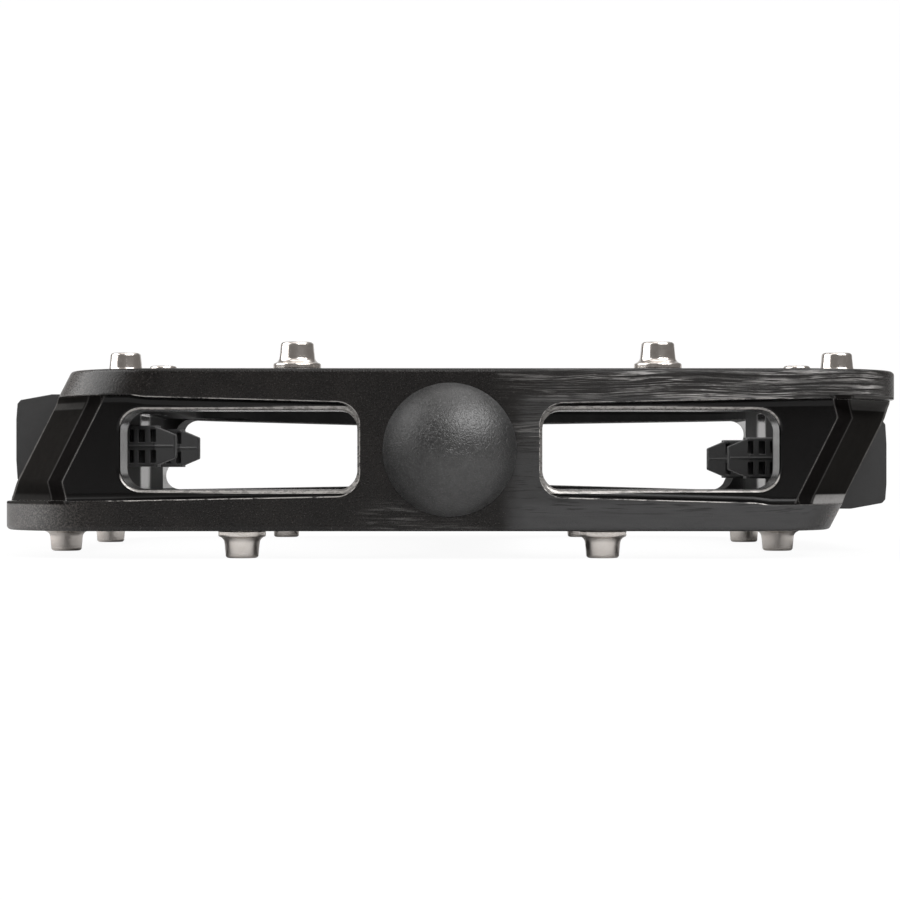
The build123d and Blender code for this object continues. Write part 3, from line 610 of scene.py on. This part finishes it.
def small_thread():
    """Thread at the outboard end, fading out at both ends, with a reduced first turn."""
    rings = []
    y = -104.3
    while y < -99.4:
        fade = max(0.0, min(1.0, (-99.5 - y) / 0.8)) * min(1.0, max(0.0, (y + 104.5) / 0.5))
        cut = 0.25 if y < -104.2 else 0.0

        def radius(angle):
            return 2.98 - 0.5 * (1 - thread(y, angle, SMALL_PITCH)) * fade - cut

        rings.append(ring(y, radius))
        y += 0.1
    return rings


def main_thread():
    """Mounting thread, tapered at both ends."""
    rings = []
    y = 1.5
    while y < 12.62:
        def radius(angle):
            r = MAIN_MINOR + (MAIN_MAJOR - MAIN_MINOR) * thread(y, angle, MAIN_PITCH)
            run_in = 6.37 + max(0.0, y - 1.4) * 0.9
            chamfer = 6.42 + (12.7 - y) * 0.95
            return min(r, run_in, chamfer)

        rings.append(ring(y, radius))
        y += MAIN_PITCH / 14
    return rings


def collar():
    def flatted(full):
        return lambda angle: min(full, COLLAR_HALF / max(1e-6, abs(math.sin(angle))))

    return [ring(y, flatted(full)) for y, full in COLLAR]


def hexagon(angle):
    """Radius of the hex socket wall."""
    from_flat = (angle + math.pi / 6) % (math.pi / 3) - math.pi / 6
    return HEX_ACROSS / 2 / math.cos(from_flat)


def socket():
    rings = [ring(12.1, lambda angle: max(4.5, hexagon(angle) + 0.01))]
    rings += [ring(y, hexagon) for y in SOCKET_WALL]
    rings.append(ring(3.78, lambda angle: hexagon(angle) - 0.08))
    return rings + rings_at(SOCKET_FLOOR)


def skin(rings):
    """Closed surface through the rings. A ring with one point is a pole."""
    bm = bmesh.new()
    rows = [[bm.verts.new(point) for point in points] for points in rings]
    for a, b in zip(rows, rows[1:]):
        for i in range(RING_POINTS):
            j = (i + 1) % RING_POINTS
            if len(a) == 1:
                bm.faces.new((a[0], b[j], b[i]))
            elif len(b) == 1:
                bm.faces.new((a[i], a[j], b[0]))
            else:
                bm.faces.new((a[i], a[j], b[j], b[i]))
    bmesh.ops.recalc_face_normals(bm, faces=bm.faces)
    return bm


def make_spindle():
    rings = [pole(-103.75)] + rings_at(TIP) + small_thread() + rings_at(SHAFT) + collar()
    rings += rings_at(NECK) + main_thread() + rings_at(END_FACE) + socket() + [pole(2.05)]
    ob = add_object("spindle_threaded", skin(rings))
    shade(ob, 28)
    ob.data.materials.append(MATERIALS["spindle_steel"])
    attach(ob, "spindle")
    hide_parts("spindle")


make_spindle()


# ---------------------------------------------------------------- reflector lenses
LENS_FACE = 53.45       # distance of the lens face from the spindle axis, before its crown
PRISM_PITCH = 1.45      # wanted size of a prism, adjusted to fill the lens
PRISM_STEPS = 8         # mesh steps across one prism
PRISM_DEPTH = 0.306
LENS_MARGIN = 0.6       # plain border round the prisms
BORDER = (0.12, 0.45)   # mesh lines inside the border


def lens_lines(low, high):
    """Mesh lines along one side of the lens, with the number and size of its prisms."""
    span = high - low - 2 * LENS_MARGIN
    count = max(1, round(span / PRISM_PITCH))
    size = span / count
    lines = [low] + [low + inset for inset in BORDER]
    lines += [low + LENS_MARGIN + size * i / PRISM_STEPS for i in range(count * PRISM_STEPS + 1)]
    lines += [high - inset for inset in reversed(BORDER)] + [high]
    return lines, count, size


def make_lens(name, node, sign):
    """Lens with pyramid prisms on its face; sign 1 faces -X and sign -1 faces +X."""
    low, high = (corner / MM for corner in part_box(node))
    y0, y1 = low.y, high.y
    z0, z1 = (low.z, high.z) if sign > 0 else (-high.z, -low.z)
    back_x = abs(high.x if sign > 0 else low.x)
    ys, y_count, y_size = lens_lines(y0, y1)
    zs, z_count, z_size = lens_lines(z0, z1)
    z_middle = (z0 + z1) / 2

    def face_x(y, z):
        across = (z - z_middle) / ((z1 - z0) / 2)
        crown = 0.3 - 0.24 * across * across
        edge = min(y - y0, y1 - y, z - z0, z1 - z)
        crown -= 0.18 * max(0.0, 1 - edge / 0.35) ** 2      # rounded border
        cell_y = (y - y0 - LENS_MARGIN) / y_size
        cell_z = (z - z0 - LENS_MARGIN) / z_size
        if -1e-6 < cell_y < y_count + 1e-6 and -1e-6 < cell_z < z_count + 1e-6:
            off_y = abs(cell_y % 1.0 - 0.5) * 2
            off_z = abs(cell_z % 1.0 - 0.5) * 2
            crown -= PRISM_DEPTH * (1.0 - max(off_y, off_z))
        return LENS_FACE + crown

    bm = bmesh.new()

    def vertex(x, y, z):
        return bm.verts.new(Vector((-x * sign, y, z * sign)) * MM)

    last_y, last_z = len(ys) - 1, len(zs) - 1
    face = [[vertex(face_x(y, z), y, z) for z in zs] for y in ys]
    back = {}
    for i, y in enumerate(ys):
        for j, z in enumerate(zs):
            if i in (0, last_y) or j in (0, last_z):
                back[i, j] = vertex(back_x, y, z)
    for i in range(last_y):
        for j in range(last_z):
            bm.faces.new((face[i][j], face[i + 1][j], face[i + 1][j + 1], face[i][j + 1]))
    # the outline, walked once round, carries the side walls and the back
    loop = [(i, 0) for i in range(last_y + 1)]
    loop += [(last_y, j) for j in range(1, last_z + 1)]
    loop += [(i, last_z) for i in range(last_y - 1, -1, -1)]
    loop += [(0, j) for j in range(last_z - 1, 0, -1)]
    for a, b in zip(loop, loop[1:] + loop[:1]):
        bm.faces.new((face[a[0]][a[1]], face[b[0]][b[1]], back[b], back[a]))
    bm.faces.new([back[place] for place in loop])
    bmesh.ops.recalc_face_normals(bm, faces=bm.faces)
    ob = add_object(name, bm)
    shade(ob, 14)
    ob.data.materials.append(MATERIALS["reflector_lens"])
    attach(ob, "platform")
    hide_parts(node)


make_lens("rear_lens_prisms", "rear_reflector_lens", 1)
make_lens("front_lens_prisms", "front_reflector_lens", -1)


# ---------------------------------------------------------------- floor and world, in metres
BACKDROP_GLOW = 1.05    # brightness of floor and world as the camera sees them
FLOOR_GAP = 0.00003     # floor below the lowest point
FLOOR_FRONT = -0.345
SWEEP_Y = 0.6           # where the floor starts to rise
SWEEP_RADIUS = 0.5
SWEEP_STEPS = 24
FLOOR_TOP = 0.75


def floor_sheet(shader):
    """Pale sheet, mostly replaced by an even glow for the camera."""
    pos = shader.position()
    sheet = shader.surface(color=pos.noise(scale=0.01).tint(grey(0.61), grey(0.67)),
                           rough=0.9, spec=0.1)
    glow = shader.node("ShaderNodeEmission", {"Strength": BACKDROP_GLOW})
    share = shader.node("ShaderNodeLightPath", out="Is Camera Ray") * 0.9
    return shader.node("ShaderNodeMixShader", (share, sheet, glow))


def make_floor(floor_z):
    """Flat under the pedal, then swept up well behind it."""
    profile = [(y, 0.0) for y in (FLOOR_FRONT, -0.2, 0.0, SWEEP_Y)]
    for i in range(1, SWEEP_STEPS + 1):
        angle = math.pi / 2 * i / SWEEP_STEPS
        profile.append((SWEEP_Y + SWEEP_RADIUS * math.sin(angle),
                        SWEEP_RADIUS * (1 - math.cos(angle))))
    profile.append((SWEEP_Y + SWEEP_RADIUS, FLOOR_TOP))
    bm = bmesh.new()
    rows = [[bm.verts.new((x, y, floor_z + z)) for y, z in profile]
            for x in (-0.6, -0.3, 0.0, 0.3, 0.6)]
    for a, b in zip(rows, rows[1:]):
        for i in range(len(profile) - 1):
            bm.faces.new((a[i], b[i], b[i + 1], a[i + 1]))
    ob = add_object("floor", bm)
    smooth_faces(ob.data)
    ob.data.materials.append(material("floor_sheet", floor_sheet))
    ob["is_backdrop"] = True


def make_world():
    """Even white for the camera; dim for the pedal, except overhead and straight behind."""
    world = bpy.data.worlds.new("studio")
    bpy.context.scene.world = world
    shader = Shader(world)
    _, y, z = shader.node("ShaderNodeTexCoord", out="Generated").xyz()
    behind = y.ramp(0.82, 0.93, low=0.0, high=0.9)
    overhead = z.ramp(0.4, 0.95, low=0.0, high=0.3)
    camera_ray = shader.node("ShaderNodeLightPath", out="Is Camera Ray")
    strength = camera_ray.mix(behind.max(overhead) + 0.2, BACKDROP_GLOW)
    color = camera_ray.tint((1.0, 0.955, 0.925), grey(1.0))
    shader.finish(shader.node("ShaderNodeBackground", (color, strength)),
                  "ShaderNodeOutputWorld")


make_floor(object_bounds()[0].z - FLOOR_GAP)
make_world()


# ---------------------------------------------------------------- lights and camera
AIM = (0.0, -0.056, 0.0)
# name, azimuth (0 is behind the camera, positive to the right) and elevation in degrees,
# distance, width, height, power in watts
LIGHTS = [
    ("box_left", -90, 30, 1.0, 1.15, 0.86, 11.0),
    ("box_right", 38, 42, 1.0, 1.0, 0.5, 9.5),
    ("box_top", 10, 84, 1.1, 1.0, 0.7, 2.4),
    ("box_rear", 150, 62, 1.2, 0.9, 0.4, 2.0),
]


def soft_box(name, azimuth, elevation, distance, width, height, power):
    a, e = math.radians(azimuth), math.radians(elevation)
    toward = Vector((math.sin(a) * math.cos(e), -math.cos(a) * math.cos(e), math.sin(e)))
    light = bpy.data.lights.new(name, "AREA")
    light.shape = "RECTANGLE"
    light.size = width
    light.size_y = height
    light.energy = power
    ob = bpy.data.objects.new(name, light)
    ob.location = Vector(AIM) + toward * distance
    ob.rotation_mode = "QUATERNION"
    ob.rotation_quaternion = (-toward).to_track_quat("-Z", "Y")
    bpy.context.scene.collection.objects.link(ob)


def make_camera():
    """Level camera looking along +Y."""
    scene = bpy.context.scene
    camera = bpy.data.cameras.new("camera")
    camera.sensor_width = 36.0
    camera.lens = 98.0
    camera.shift_x = -0.02222222
    camera.shift_y = 0.02333333
    camera.clip_start = 0.01
    camera.clip_end = 20.0
    ob = bpy.data.objects.new("camera", camera)
    ob.location = (0.00229, -0.3808, -0.0024)
    ob.rotation_euler = (math.pi / 2, 0, 0)
    scene.collection.objects.link(ob)
    scene.camera = ob
    scene.view_settings.view_transform = "Standard"
    scene.view_settings.look = "None"


for light_row in LIGHTS:
    soft_box(*light_row)
make_camera()
